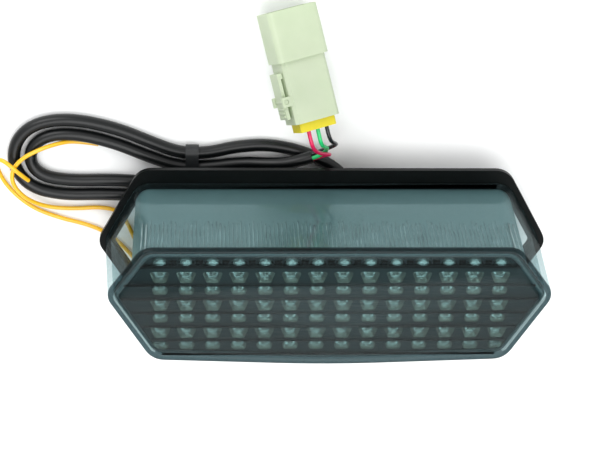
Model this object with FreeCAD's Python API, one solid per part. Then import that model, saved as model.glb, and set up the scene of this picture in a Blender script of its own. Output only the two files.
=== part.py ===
import FreeCAD, Part
import math
import os

from FreeCAD import Vector

# LED tail light of a small motorcycle, lying on its mounting bosses with the lens face up.
# +Z leaves through the lens face, +Y is the upper side of the lamp on the machine, +X is right.
# The origin is on the ground plane under the bosses. All sizes are in millimetres.

# ---- lamp: overall sizes ------------------------------------------------------------------
POINT_Y = 3.13            # the line through the side points of the face, above the middle of the rim
LENS_HALF = 80.0          # half the width of the lens face, at its side points
LENS_TOP = 18.2           # upper edge of the face above the line through its side points
LENS_BOTTOM = 26.0        # lower edge of the face below that line, at its corners
LENS_BOW = 2.2            # how far the lower edge bows out at its middle
TOP_CORNER = 66.5         # half the length of the upper edge
BOTTOM_CORNER = 63.5      # half the length of the lower edge
LENS_DEPTH = 50.0         # from the seat on the housing to the face
LENS_WALL = 2.0
FAR = 200.0               # beyond the lamp in every direction, for cutting
DRAFT_SIDE = 3.0          # how much wider each side is at the seat than at the face
DRAFT_TOP = 3.4           # the same for the upper edge
DRAFT_BOTTOM = 3.0        # the same for the lower edge
DROP_POINT = 2.5          # how far the side points drop from the face to the seat
CORNER_R = 8.0
POINT_R = 6.0
BOW_R = 560.0

# ---- lamp: levels above the ground --------------------------------------------------------
BOSS_H = 10.0             # the housing's floor stands this high on its bosses
TRAY_WALL = 2.0
TRAY_DEPTH = 10.0         # from the underside of the floor to the top of the rim
RIM_T = 2.4
SEAL_T = 0.8
CLEAR = 0.3               # running and fitting clearance

Z_RIM = BOSS_H + TRAY_DEPTH
Z_SEAT = Z_RIM + SEAL_T
Z_FACE = Z_SEAT + LENS_DEPTH

# ---- rear housing -------------------------------------------------------------------------
RIM_OUT_TOP = 5.0         # how far the rim stands out beyond the lens along its upper edge
RIM_OUT = 2.0             # the same along the other edges
LINER_HALF = 70.5         # half the width of the closed LED chamber
RIM_LAND = 3.6            # width of the rim round the open end windows
TRAY_HALF = 66.0
TRAY_TOP = 19.0
TRAY_BOTTOM = -18.0
BOSS_R = 4.6
BOSS_X = (26.0, 54.0)     # half spacing of the upper and of the lower pair of bosses
BOSS_Y = (16.3, -11.0)    # their heights on the lamp
INSERT_R = 3.4
INSERT_BORE_R = 2.1       # tapping size of an M5 thread
INSERT_L = 9.0
OUTLET_X = (25.0, 53.0)   # the cable outlet box below the floor
OUTLET_Y = (-6.9, 7.1)
OUTLET_FLOOR = 0.6
OUTLET_SKIN = 0.9         # the thin floor of the outlet box
OUTLET_SIDE = 1.5
POST_R = 3.6
POST_Y = 3.1
POST_X = 60.0             # the two posts that carry the LED carrier
VENT_R = 2.6
VENT_AT = (-8.0, -11.0)
VENT_CAP = 1.2

# ---- LED optics ---------------------------------------------------------------------------
COLUMNS = 14
ROWS = 3
COLUMN_PITCH = 9.3
ROW_PITCH = 11.0
FIRST_ROW = 6.2
CUP_W = 7.7
CUP_H = 8.6
CUP_FOOT = 6.2
OPTIC_GAP = 1.5           # from the inner face of the lens to the front of the reflector
REFLECTOR_H = 10.0
SCALLOP_R = 4.1
SCALLOP_H = 1.2
RIB_W = 0.9
RIB_H = 1.1
TURN_COLUMNS = 3          # columns at each end that serve as turn signals
LED_R = 2.5
LED_FLANGE_R = 2.9
LED_FLANGE_H = 1.0
LED_H = 7.6
BOARD_T = 1.6
LINER_WALL = 1.6
LEDGE_T = 2.0
LEDGE_W = 3.0
LEDGE_HALF = 62.0         # the ledges stop here, clear of the board screws
FOOT_X = 52.0             # the carrier's foot plates reach from here to its ends
FOOT_H = 12.0
CARRIER_SCREW_L = 16.0
BOARD_SCREW_X = 66.0
BOARD_SCREW_Y = (6.1, -2.9)
SOCKET_R = 1.0            # drive recess of the small screws
SOCKET_H = 6.0            # height of the wire socket under the board
RESISTOR_Y = 10.0
CHIP_Y = -5.0
CAPACITOR_R = 4.0
CAPACITOR_H = 10.0
CAPACITOR_AT = (-18.0, -5.0)
STEP_GAP = 0.9            # from the upper row of cups to the step
SCREW_R = 1.25
SCREW_HEAD_R = 2.3
SCREW_HEAD_H = 1.8
SCREW_L = 8.0

Z_OPTIC = Z_FACE - LENS_WALL - OPTIC_GAP
Z_REFLECTOR = Z_OPTIC - REFLECTOR_H
Z_BOARD = Z_REFLECTOR - LED_FLANGE_H - CLEAR - BOARD_T

# ---- cable and connector ------------------------------------------------------------------
CABLE_D = 4.8
WIRE_D = 1.6
CORE_D = 1.5
OUTLET_Z = 5.2            # axis of the cable where it leaves the lamp
GLAND_Y = 0.1
GLAND_LIP = 2.6
GLAND_INNER = 1.5
TAIL_L = 9.0              # how far the cable reaches in from the face of the gland
GLAND_R = 4.3
GLAND_NECK_R = 3.2
GLAND_EDGE = 0.3          # how far the inner lip stands out from the neck
PLUG_HALF = 8.6
PLUG_H = 13.0
PLUG_L = 41.5
PLUG_WALL = 1.7
PLUG_EDGE = 1.2           # chamfer of the body's long edges
HOOD_EDGE = 2.0
PLUG_MOUTH = 17.0
PLUG_TURN = 15.0          # how the connector lies on the ground, in degrees from +Y
PLUG_ROLL = 22.0          # it lies on one edge, with the side that has the latch up
PLUG_PITCH = 17.0         # its mouth lies on the ground and its wires hold the other end up
PLUG_AT = Vector(-7.0, 48.5, 16.0)
PLUG_HOOD = 18.5          # length of the hood round the mouth
PLUG_STEP = 1.2           # how far the hood stands out beyond the body
LEVER_W = 8.0
LEVER_L = 17.0
LEVER_T = 1.2
LEVER_RISE = 1.0          # gap under the lever
LEVER_PIVOT = 9.0         # its pivot, from the wire end of the connector
PIVOT_R = 0.8
PIVOT_GAP = 0.1
RETAINER_HALF = 7.0       # the terminal lock: half its width, and how far it stands out and in
RETAINER_OUT = 3.4
RETAINER_IN = 5.0
RETAINER_Z = (1.5, 11.5)
RETAINER_EDGE = 0.6
CORE_GAP = 0.5            # round each wire in the lock
EAR_T = 1.5
PAD_L = 6.5               # the thumb pad reaches this far behind the pivot
PIVOT_X = PLUG_HALF + LEVER_RISE + LEVER_T / 2
LEVER_FROM = 2.5          # the lever's lower edge, up the side of the body
HOOK_L = 2.0
EAR_HALF = 1.8            # half the length of each ear along the connector
EAR_RIM = 0.7             # how far an ear stands out beyond the pin
RIDGE_H = 0.4             # the grip ridges on the thumb pad
RIDGE_W = 0.7
RIDGE_PITCH = 1.5
WRAP_X = (-52.0, -47.0)
WRAP_Y = (24.2, 29.8)
WRAP_Z = 3.3
WRAP_GAP = 0.25
WRAP_T = 0.6
LEAD_X = (35.5, 37.9, 40.3, 42.7)
LEAD_OFF = 0.9
LEAD_BEND = 16.0
LEAD_TOP = 30.0
WAY_X = (-3.6, 0.0, 3.6)
WAY_Z = (4.0, 9.0)
WAY_HALF = 1.45
WIRE_IN = 13.5            # how far each wire reaches into its way
WIRE_SLACK = 0.15         # the wires lie slightly wavy in their ways
CRIMP_L = 5.0
BLADE_L = 9.0

# hand-set routes: each point is where the centre of the cord would turn
CABLE_ROUTE = [
    (22.4, 0.1, 5.2), (13.6, 0.1, 5.2), (3.0, -0.9, 3.4), (-11.0, -1.5, 2.5), (-28.0, 2.3, 2.5),
    (-46.0, 7.3, 2.5), (-66.0, 11.7, 2.5), (-84.0, 12.5, 2.5), (-99.0, 12.1, 2.5),
    (-111.0, 15.1, 2.5), (-117.4, 23.7, 2.5), (-116.2, 34.3, 2.5), (-108.4, 41.5, 2.5),
    (-95.0, 43.3, 2.5), (-78.0, 39.5, 2.5), (-65.0, 33.9, 2.8), (-54.5, 29.9, 3.3),
    (-44.0, 29.7, 3.3), (-33.0, 32.1, 2.5), (-20.5, 33.1, 2.5), (-7.0, 30.1, 2.5),
    (4.6, 24.1, 2.5), (11.8, 16.1, 2.5), (8.0, 7.7, 2.5), (-3.0, 5.5, 2.5), (-18.0, 6.7, 2.5),
    (-36.0, 10.1, 2.5), (-56.0, 16.1, 2.5), (-77.0, 18.5, 2.5), (-97.0, 17.9, 2.5),
    (-108.0, 20.3, 2.5), (-111.6, 27.7, 2.5), (-107.4, 35.3, 2.5), (-96.4, 37.7, 2.5),
    (-80.0, 34.1, 2.5), (-66.0, 28.1, 2.8), (-55.0, 24.3, 3.3), (-44.0, 24.1, 3.3),
    (-31.0, 25.9, 3.4), (-20.0, 26.3, 5.6), (-11.6, 27.7, 8.2), (-4.2, 30.3, 8.2),
]
YELLOW_A_ROUTE = [
    (-85.0, 32.3, 1.0), (-94.0, 33.9, 1.2), (-101.0, 33.7, 4.4), (-107.4, 32.1, 6.6),
    (-113.6, 28.7, 6.7), (-117.6, 23.7, 6.7), (-117.4, 17.5, 6.5), (-112.6, 11.3, 5.4),
    (-105.0, 6.7, 2.2), (-95.0, 5.5, 1.0), (-85.0, 6.3, 1.0), (-77.6, 4.7, 1.0),
    (-74.0, -1.9, 1.0), (-71.6, -8.9, 1.0), (-66.0, -14.3, 1.0),
]
YELLOW_B_ROUTE = [
    (-111.4, 19.5, 6.2), (-114.6, 23.3, 8.6), (-118.6, 27.5, 8.8), (-122.4, 28.7, 6.4),
    (-123.6, 23.9, 3.2), (-120.4, 14.9, 1.0), (-111.8, 6.3, 1.0), (-101.0, 1.7, 1.0),
    (-90.0, -1.1, 1.0), (-82.0, -4.9, 1.0), (-75.4, -11.5, 1.0), (-70.6, -17.9, 1.0),
]
RED_ROUTE = [
    (-3.85, 29.31, 7.7), (-0.41, 30.52, 7.7), (2.4, 31.8, 9.4), (1.9, 33.4, 13.2), (-1.0, 35.6, 18.0),
    (-3.5, 38.4, 23.0), (-5.1, 41.8, 27.0),
]
GREEN_ROUTE = [
    (-4.2, 30.3, 9.5), (-1.4, 31.28, 9.5), (0.6, 34.0, 11.9), (1.1, 37.2, 15.8), (-0.5, 39.6, 21.0),
    (-1.9, 42.4, 25.6),
]
BLACK_ROUTE = [
    (-4.55, 31.29, 7.7), (-1.4, 32.4, 7.7), (2.5, 34.9, 9.9), (4.5, 37.8, 14.0), (3.6, 40.4, 19.4),
    (1.7, 43.0, 23.9),
]


def save(node, shape):
    """Writes one node as a STEP file."""
    shape.exportStep(os.path.join("parts", node + ".step"))


def box(x0, x1, y0, y1, z0, z1):
    """A box between two corners."""
    return Part.makeBox(x1 - x0, y1 - y0, z1 - z0, Vector(x0, y0, z0))


def rod(radius, start, end):
    """A cylinder between two points."""
    way = end - start
    return Part.makeCylinder(radius, way.Length, start, way)


def rounded_wire(points, radii, z):
    """A closed outline through the points at height z, with each corner rounded by a tangent arc."""
    count = len(points)
    corners = [Vector(p[0], p[1], z) for p in points]
    trims = []
    for i, corner in enumerate(corners):
        before = (corners[i - 1] - corner).normalize()
        after = (corners[(i + 1) % count] - corner).normalize()
        half = before.getAngle(after) / 2
        reach = radii[i] / math.tan(half)
        middle = (before + after).normalize()
        centre = corner + middle * (radii[i] / math.sin(half))
        crown = centre - middle * radii[i]
        trims.append((corner + before * reach, crown, corner + after * reach))
    edges = []
    for i in range(count):
        start, crown, end = trims[i]
        edges.append(Part.Arc(start, crown, end).toShape())
        edges.append(Part.LineSegment(end, trims[(i + 1) % count][0]).toShape())
    return Part.Wire(edges)


def inset_points(points, amounts):
    """Moves each side of a clockwise polygon inwards by its own amount and finds the new corners."""
    count = len(points)
    lines = []
    for i in range(count):
        (x0, y0), (x1, y1) = points[i], points[(i + 1) % count]
        length = math.hypot(x1 - x0, y1 - y0)
        nx, ny = (y1 - y0) / length, -(x1 - x0) / length
        shift = amounts[i]
        lines.append((nx, ny, nx * x0 + ny * y0 + shift))
    result = []
    for i in range(count):
        a1, b1, c1 = lines[i - 1]
        a2, b2, c2 = lines[i]
        det = a1 * b2 - a2 * b1
        result.append(((c1 * b2 - c2 * b1) / det, (a1 * c2 - a2 * c1) / det))
    return result


def lens_points(z):
    """The lens outline at height z: clockwise from the upper left corner, as the lens is drafted."""
    part = (Z_FACE - z) / LENS_DEPTH
    half = LENS_HALF + DRAFT_SIDE * part
    top = POINT_Y + LENS_TOP + DRAFT_TOP * part
    bottom = POINT_Y - LENS_BOTTOM - DRAFT_BOTTOM * part
    point = POINT_Y - DROP_POINT * part
    upper = TOP_CORNER + DRAFT_SIDE * part
    lower = BOTTOM_CORNER + DRAFT_SIDE * part
    return [(-upper, top), (upper, top), (half, point), (lower, bottom), (0.0, bottom - LENS_BOW),
            (-lower, bottom), (-half, point)]


def lens_wire(z, inset):
    """The lens outline at height z, moved inwards by inset, or by one amount for the top and one for the rest."""
    top, rest = inset if isinstance(inset, tuple) else (inset, inset)
    amounts = [top] + [rest] * 6
    points = inset_points(lens_points(z), amounts)
    shrink = min(max(rest, 0.0), POINT_R - 1.5)
    corner, point = CORNER_R - shrink, POINT_R - shrink
    return rounded_wire(points, [corner, corner, point, corner, BOW_R, corner, point], z)


def lens_block(z0, z1, inset):
    """The solid inside the drafted lens outline between two heights."""
    return Part.makeLoft([lens_wire(z0, inset), lens_wire(z1, inset)], True, True)


def slab(wire, height):
    """A plate of the given height on a flat outline."""
    return Part.Face(wire).extrude(Vector(0, 0, height))


def cord_path(points):
    """Straight runs joined by tangent arcs, each arc as large as its two runs allow. Returns wire and radii."""
    places = [Vector(*p) for p in points]
    edges, radii = [], []
    at = places[0]
    for before, corner, after in zip(places, places[1:], places[2:]):
        back, ahead = before - corner, after - corner
        turn = math.pi - back.getAngle(ahead)
        radius = 0.45 * min(back.Length, ahead.Length) / math.tan(turn / 2)
        reach = radius * math.tan(turn / 2)
        back.normalize()
        ahead.normalize()
        middle = (back + ahead).normalize()
        crown = corner + middle * (radius / math.cos(turn / 2) - radius)
        start, end = corner + back * reach, corner + ahead * reach
        edges.append(Part.LineSegment(at, start).toShape())
        edges.append(Part.Arc(start, crown, end).toShape())
        radii.append(radius)
        at = end
    edges.append(Part.LineSegment(at, places[-1]).toShape())
    return Part.Wire(edges), radii


def cord(name, points, diameter):
    """A round cord along the points; prints its length, tightest bend and how true its volume is."""
    path, radii = cord_path(points)
    start = Vector(*points[0])
    heading = Vector(*points[1]) - start
    ring = Part.Wire([Part.makeCircle(diameter / 2, start, heading)])
    tube = path.makePipeShell([ring], True, False)
    true = math.pi * diameter ** 2 / 4 * path.Length
    print(name, "length", round(path.Length, 1), "radii", [round(r, 1) for r in radii],
          "volume ratio", round(tube.Volume / true, 4), "valid", tube.isValid())
    return tube


# ---- lens ---------------------------------------------------------------------------------


def lens_cover():
    """The smoked lens: a drafted hollow shell with fine cross ribs inside its face."""
    shell = lens_block(Z_SEAT, Z_FACE, 0.0).cut(lens_block(Z_SEAT, Z_FACE - LENS_WALL, LENS_WALL))
    rib_area = lens_block(Z_FACE - LENS_WALL - RIB_H, Z_FACE - LENS_WALL, LENS_WALL / 2)
    bars = []
    for i in range(2 * ROWS - 1):
        y = FIRST_ROW - i * ROW_PITCH / 2
        bars.append(box(-LENS_HALF, LENS_HALF, y - RIB_W / 2, y + RIB_W / 2,
                        Z_FACE - LENS_WALL - RIB_H, Z_FACE - LENS_WALL / 2))
    ribs = Part.makeCompound(bars).common(rib_area)
    return shell.fuse(ribs.Solids).removeSplitter()


def lens_seal():
    """The soft gasket between the lens edge and the rim."""
    outer = slab(lens_wire(Z_SEAT, CLEAR), -SEAL_T)
    inner = slab(lens_wire(Z_SEAT, LENS_WALL + CLEAR), -SEAL_T)
    return outer.cut(inner)


# ---- rear housing -------------------------------------------------------------------------


def boss_places():
    """The four mounting points, upper pair first."""
    return [(side * x, y) for x, y in zip(BOSS_X, BOSS_Y) for side in (-1, 1)]


def rear_housing():
    """The black moulded housing: rim, tray, mounting bosses and the cable outlet box."""
    rim = slab(lens_wire(Z_SEAT, (-RIM_OUT_TOP, -RIM_OUT)), -RIM_T)
    rim.translate(Vector(0, 0, -SEAL_T))
    window = slab(lens_wire(Z_SEAT, RIM_LAND), -RIM_T - SEAL_T - 1)
    middle = box(-LINER_HALF - CLEAR, LINER_HALF + CLEAR, -FAR, FAR, 0, Z_FACE)
    rim = rim.cut(window.cut(middle))
    tray = box(-TRAY_HALF, TRAY_HALF, TRAY_BOTTOM, TRAY_TOP, BOSS_H, Z_RIM - 0.5)
    tray = tray.makeFillet(4.0, upright_edges(tray))
    hollow = box(-TRAY_HALF + TRAY_WALL, TRAY_HALF - TRAY_WALL, TRAY_BOTTOM + TRAY_WALL,
                 TRAY_TOP - TRAY_WALL, BOSS_H + TRAY_WALL, Z_RIM + 5)
    hollow = hollow.makeFillet(3.0, upright_edges(hollow))
    outlet = box(*OUTLET_X, *OUTLET_Y, OUTLET_FLOOR, BOSS_H + 1)
    outlet_room = box(OUTLET_X[0] + TRAY_WALL, OUTLET_X[1] - TRAY_WALL, OUTLET_Y[0] + OUTLET_SIDE,
                      OUTLET_Y[1] - OUTLET_SIDE, OUTLET_FLOOR + OUTLET_SKIN, BOSS_H + 5)
    bosses = [Part.makeCylinder(BOSS_R, BOSS_H + TRAY_WALL + 2, Vector(x, y, 0)) for x, y in boss_places()]
    bores = [Part.makeCylinder(INSERT_R, INSERT_L, Vector(x, y, 0)) for x, y in boss_places()]
    posts = [Part.makeCylinder(POST_R, TRAY_DEPTH - 1, Vector(x, POST_Y, BOSS_H + 1))
             for x in (-POST_X, POST_X)]
    bores += [Part.makeCylinder(SCREW_R + CLEAR, 2 * TRAY_DEPTH, Vector(x, POST_Y, BOSS_H - 1))
              for x in (-POST_X, POST_X)]
    bores += [Part.makeCylinder(SCREW_HEAD_R + CLEAR, SCREW_HEAD_H, Vector(x, POST_Y, BOSS_H))
              for x in (-POST_X, POST_X)]
    body = rim.fuse([tray]).cut(hollow).fuse(bosses + posts + [outlet])
    gland_hole = rod(GLAND_NECK_R, Vector(OUTLET_X[0] - 1, GLAND_Y, OUTLET_Z),
                     Vector(OUTLET_X[0] + TRAY_WALL + 1, GLAND_Y, OUTLET_Z))
    vent = Part.makeCylinder(VENT_R, 6, Vector(*VENT_AT, BOSS_H - 2))
    return body.cut([outlet_room, gland_hole, vent] + bores).removeSplitter()


def upright_edges(solid):
    """The edges of a box that stand along Z."""
    return [e for e in solid.Edges if abs(e.tangentAt(e.FirstParameter).z) > 0.99]


def threaded_inserts():
    """Brass inserts moulded into the bosses."""
    made = []
    for x, y in boss_places():
        sleeve = Part.makeCylinder(INSERT_R, INSERT_L, Vector(x, y, 0))
        made.append(sleeve.cut(Part.makeCylinder(INSERT_BORE_R, INSERT_L, Vector(x, y, 0))))
    return Part.makeCompound(made)


def breather_vent():
    """The vent plug in the tray floor that lets the lamp breathe."""
    x, y = VENT_AT
    plug = Part.makeCylinder(VENT_R, TRAY_WALL, Vector(x, y, BOSS_H))
    cap = Part.makeCylinder(VENT_R + 1.2, 1.2, Vector(x, y, BOSS_H - 1.2))
    bore = Part.makeCylinder(0.8, 10, Vector(x, y, BOSS_H - 2))
    return plug.fuse(cap).cut(bore)


def cable_gland():
    """The rubber grommet that holds the cable in the outlet box."""
    x0 = OUTLET_X[0]
    neck = rod(GLAND_NECK_R, Vector(x0, GLAND_Y, OUTLET_Z), Vector(x0 + TRAY_WALL, GLAND_Y, OUTLET_Z))
    outer = rod(GLAND_R, Vector(x0 - GLAND_LIP, GLAND_Y, OUTLET_Z), Vector(x0, GLAND_Y, OUTLET_Z))
    inner = rod(GLAND_NECK_R + GLAND_EDGE, Vector(x0 + TRAY_WALL, GLAND_Y, OUTLET_Z),
                Vector(x0 + TRAY_WALL + GLAND_INNER, GLAND_Y, OUTLET_Z))
    return outer.fuse([neck, inner]).cut(cable_tail())


def cable_tail():
    """The end of the cable sleeve, held in the grommet."""
    start = Vector(OUTLET_X[0] - GLAND_LIP, GLAND_Y, OUTLET_Z)
    return rod(CABLE_D / 2, start, start + Vector(TAIL_L, 0, 0))


# ---- LED carrier, board and reflector -----------------------------------------------------


def carrier_inset():
    """How far the LED carrier's walls stand in from the outside of the lens."""
    return LENS_WALL + 2 * CLEAR


def chamber_block(z0, z1, inset, half):
    """The drafted space inside the lens between two upright ends."""
    return lens_block(z0, z1, inset).common(box(-half, half, -FAR, FAR, z0, z1))


def led_carrier():
    """The frame that fills the lens behind the reflector and carries the board on its ledges."""
    inset = carrier_inset()
    inner = inset + LINER_WALL
    room_half = LINER_HALF - LINER_WALL
    frame = chamber_block(Z_RIM, Z_REFLECTOR, inset, LINER_HALF)
    frame = frame.cut(chamber_block(Z_RIM - 1, Z_REFLECTOR + 1, inner, room_half))
    rooted = inner - LINER_WALL / 2
    ledge = chamber_block(Z_BOARD - LEDGE_T, Z_BOARD, rooted, LEDGE_HALF)
    ledge = ledge.cut(chamber_block(Z_BOARD - LEDGE_T, Z_BOARD, inner + LEDGE_W, LEDGE_HALF))
    feet = []
    plate = chamber_block(Z_RIM, Z_RIM + LINER_WALL, rooted, LINER_HALF - LINER_WALL / 2)
    for side in (-1, 1):
        x0, x1 = sorted((side * FOOT_X, side * LINER_HALF))
        feet.append(plate.common(box(x0, x1, -FAR, FAR, 0, Z_FACE)))
        feet.append(Part.makeCylinder(POST_R, FOOT_H, Vector(side * POST_X, POST_Y, Z_RIM)))
    bores = [Part.makeCylinder(SCREW_R, FOOT_H - 1, Vector(side * POST_X, POST_Y, Z_RIM)) for side in (-1, 1)]
    return frame.fuse([ledge] + feet).cut(bores).removeSplitter()


def carrier_screws():
    """Two screws up through the tray's posts into the carrier's feet."""
    top = BOSS_H + SCREW_HEAD_H
    made = []
    for x in (-POST_X, POST_X):
        head = Part.makeCylinder(SCREW_HEAD_R, SCREW_HEAD_H, Vector(x, POST_Y, BOSS_H))
        shank = Part.makeCylinder(SCREW_R, CARRIER_SCREW_L, Vector(x, POST_Y, top))
        socket = Part.makeCylinder(SOCKET_R, SOCKET_R, Vector(x, POST_Y, BOSS_H))
        made.append(head.fuse(shank).cut(socket))
    return Part.makeCompound(made)


def board_screw_places():
    """Where screws hold the board up to the reflector."""
    return [(side * BOARD_SCREW_X, y) for side in (-1, 1) for y in BOARD_SCREW_Y]


def led_board():
    """The circuit board that lies on the carrier's ledges."""
    inset = carrier_inset() + LINER_WALL + CLEAR
    board = chamber_block(Z_BOARD, Z_BOARD + BOARD_T, inset, LINER_HALF - LINER_WALL - CLEAR)
    holes = [Part.makeCylinder(SCREW_R + CLEAR, 4, Vector(x, y, Z_BOARD - 1)) for x, y in board_screw_places()]
    return board.cut(holes)


def board_screws():
    """Screws from behind the board into the reflector's end posts."""
    made = []
    for x, y in board_screw_places():
        head = Part.makeCylinder(SCREW_HEAD_R, SCREW_HEAD_H, Vector(x, y, Z_BOARD - SCREW_HEAD_H))
        shank = Part.makeCylinder(SCREW_R, SCREW_L, Vector(x, y, Z_BOARD))
        socket = Part.makeCylinder(SOCKET_R, SOCKET_R, Vector(x, y, Z_BOARD - SCREW_HEAD_H))
        made.append(head.fuse(shank).cut(socket))
    return Part.makeCompound(made)


def column_x(column):
    """The middle of an LED column."""
    return (column - (COLUMNS - 1) / 2) * COLUMN_PITCH


def row_y(row):
    """The middle of an LED row, counted from the upper edge."""
    return FIRST_ROW - row * ROW_PITCH


def rectangle(x, y, half_x, half_y, z):
    """A closed rectangle at height z."""
    return Part.makePolygon([Vector(x - half_x, y - half_y, z), Vector(x + half_x, y - half_y, z),
                             Vector(x + half_x, y + half_y, z), Vector(x - half_x, y + half_y, z),
                             Vector(x - half_x, y - half_y, z)])


def cup(x, y):
    """The flared pocket of one LED, from the foot to the front of the reflector."""
    foot = rectangle(x, y, CUP_FOOT / 2, CUP_FOOT / 2, Z_REFLECTOR - CLEAR)
    mouth = rectangle(x, y, CUP_W / 2, CUP_H / 2, Z_OPTIC + CLEAR)
    return Part.makeLoft([foot, mouth], True, True)


def reflector():
    """The metallised reflector: 42 cups, a step above them and one scallop over each column."""
    inset = LENS_WALL + CLEAR
    body = chamber_block(Z_REFLECTOR, Z_OPTIC, inset, LINER_HALF)
    cups = [cup(column_x(c), row_y(r)) for c in range(COLUMNS) for r in range(ROWS)]
    y = row_y(0) + CUP_H / 2 + STEP_GAP
    band = chamber_block(Z_OPTIC, Z_OPTIC + SCALLOP_H, inset, LINER_HALF)
    band = band.common(box(-FAR, FAR, y, FAR, Z_OPTIC, Z_FACE))
    discs = [Part.makeCylinder(SCALLOP_R, SCALLOP_H, Vector(column_x(c), y, Z_OPTIC)) for c in range(COLUMNS)]
    arcs = band.common(discs[0].fuse(discs[1:]))
    drills = [Part.makeCylinder(SCREW_R, SCREW_L - BOARD_T - LED_FLANGE_H - CLEAR, Vector(x, y2, Z_REFLECTOR))
              for x, y2 in board_screw_places()]
    return body.cut(cups + drills).fuse(arcs.Solids).removeSplitter()


def led(x, y):
    """One domed LED standing on the board."""
    foot = Z_BOARD + BOARD_T
    flange = Part.makeCylinder(LED_FLANGE_R, LED_FLANGE_H, Vector(x, y, foot))
    body = Part.makeCylinder(LED_R, LED_H - LED_R, Vector(x, y, foot))
    dome = Part.makeSphere(LED_R, Vector(x, y, foot + LED_H - LED_R))
    return flange.fuse([body, dome]).removeSplitter()


def led_group(columns):
    """The LEDs of some columns."""
    return Part.makeCompound([led(column_x(c), row_y(r)) for c in columns for r in range(ROWS)])


def below_board(x, y, width, depth, height):
    """A component hanging under the board."""
    return box(x - width / 2, x + width / 2, y - depth / 2, y + depth / 2, Z_BOARD - height, Z_BOARD)


def load_resistors():
    """The chip resistors in series with the LED strings."""
    return Part.makeCompound([below_board(x, RESISTOR_Y, 3.2, 1.6, 0.6) for x in range(-54, 55, 12)])


def driver_chips():
    """The three driver chips."""
    return Part.makeCompound([below_board(x, CHIP_Y, 6.0, 5.0, 1.8) for x in (-36, 0, 20)])


def capacitor():
    """The smoothing capacitor."""
    return Part.makeCylinder(CAPACITOR_R, CAPACITOR_H, Vector(*CAPACITOR_AT, Z_BOARD - CAPACITOR_H))


def board_socket():
    """The socket under the board where the inner leads end."""
    x0 = LEAD_X[0] - 2.2
    x1 = LEAD_X[-1] + 2.2
    return box(x0, x1, GLAND_Y - 2.5, GLAND_Y + 2.5, Z_BOARD - SOCKET_H, Z_BOARD)


def inner_leads():
    """The four leads that rise from the end of the cable to the board's socket."""
    names = ("stop_lead", "tail_lead", "turn_lead", "ground_lead")
    start = OUTLET_X[0] - GLAND_LIP + TAIL_L
    for i, name in enumerate(names):
        y = GLAND_Y + LEAD_OFF * (-1 if i % 2 == 0 else 1)
        z = OUTLET_Z + LEAD_OFF * (1 if i < 2 else -1)
        x = LEAD_X[i]
        route = [(start, y, z), (x, y, z), (x, y, LEAD_BEND), (x, GLAND_Y, LEAD_TOP),
                 (x, GLAND_Y + 0.01, Z_BOARD - SOCKET_H)]
        save("inner_" + name, cord("inner_" + name, route, CORE_D))


# ---- connector ----------------------------------------------------------------------------


def laid(shape):
    """Puts a connector piece where the connector lies: +Y is the way out of its mouth."""
    shape = shape.copy()
    shape.rotate(Vector(0, 0, 0), Vector(0, 1, 0), PLUG_ROLL)
    shape.rotate(Vector(0, 0, 0), Vector(1, 0, 0), -PLUG_PITCH)
    shape.rotate(Vector(0, 0, 0), Vector(0, 0, 1), PLUG_TURN)
    shape.translate(PLUG_AT)
    return shape


def laid_point(x, y, z):
    """A point of the connector where the connector lies."""
    place = laid(Part.Vertex(x, y, z)).Point
    return (place.x, place.y, place.z)


def long_edges(solid):
    """The edges of a connector block that run along it."""
    return [e for e in solid.Edges if abs(e.tangentAt(e.FirstParameter).y) > 0.99]


def connector_housing():
    """The nylon connector housing: six ways behind a wide hood, with the ears of the latch."""
    body = box(-PLUG_HALF, PLUG_HALF, 0, PLUG_L - PLUG_STEP, 0, PLUG_H)
    body = body.makeChamfer(PLUG_EDGE, long_edges(body))
    half = PLUG_HALF + PLUG_STEP
    hood = box(-half, half, PLUG_L - PLUG_HOOD, PLUG_L, 0, PLUG_H + PLUG_STEP)
    hood = hood.makeFillet(HOOD_EDGE, long_edges(hood))
    mouth = box(-half + PLUG_WALL, half - PLUG_WALL, PLUG_L - PLUG_MOUTH, PLUG_L + 1,
                PLUG_WALL, PLUG_H + PLUG_STEP - PLUG_WALL)
    recess = box(-RETAINER_HALF - CLEAR, RETAINER_HALF + CLEAR, -1, RETAINER_IN + CLEAR,
                 RETAINER_Z[0] - CLEAR, RETAINER_Z[1] + CLEAR)
    ways = [box(x - WAY_HALF, x + WAY_HALF, -1, PLUG_L, z - WAY_HALF, z + WAY_HALF)
            for x in WAY_X for z in WAY_Z]
    ears = []
    for z in (LEVER_FROM - CLEAR - EAR_T, LEVER_FROM + LEVER_W + CLEAR):
        ears.append(box(-PIVOT_X - PIVOT_R - EAR_RIM, -PLUG_HALF + PLUG_EDGE,
                        LEVER_PIVOT - EAR_HALF, LEVER_PIVOT + EAR_HALF, z, z + EAR_T))
    pin_hole = rod(PIVOT_R + PIVOT_GAP, Vector(-PIVOT_X, LEVER_PIVOT, -1),
                   Vector(-PIVOT_X, LEVER_PIVOT, PLUG_H + 1))
    return laid(body.fuse([hood] + ears).cut([mouth, recess, pin_hole] + ways).removeSplitter())


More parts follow.
